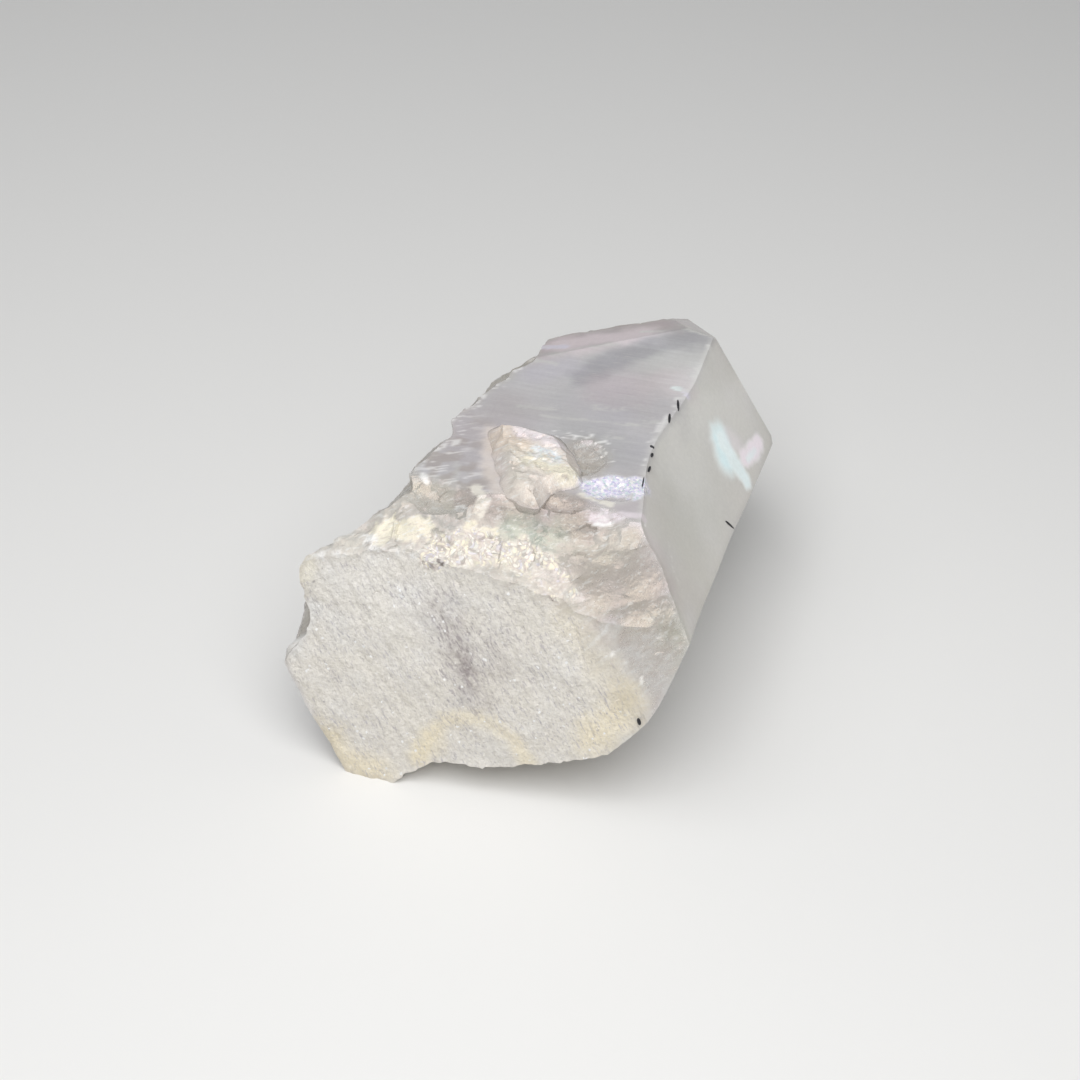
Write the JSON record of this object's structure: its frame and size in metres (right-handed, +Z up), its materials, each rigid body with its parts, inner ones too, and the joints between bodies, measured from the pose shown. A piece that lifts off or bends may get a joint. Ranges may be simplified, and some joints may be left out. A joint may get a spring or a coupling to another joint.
{
  "type": "rough quartz chunk",
  "caption": "Rough quartz chunk: a broken prismatic crystal with smooth flat faces and a sugary broken base, lying on a long face.",
  "frame": {"origin": "middle of the stone's footprint, on the surface that it rests on", "axes": "+Y along the crystal from the broken base to the tip, +X to the right seen from the base, +Z up from the resting face"},
  "size_m": [0.0444, 0.06, 0.0327],
  "materials": {
    "quartz": "translucent milky quartz with a thin pearly film: glossy prism faces, glittering cream breaks and a dull sugary base"
  },
  "bodies": {
    "root": {"quartz_chunk": "quartz"}
  },
  "joints": []
}
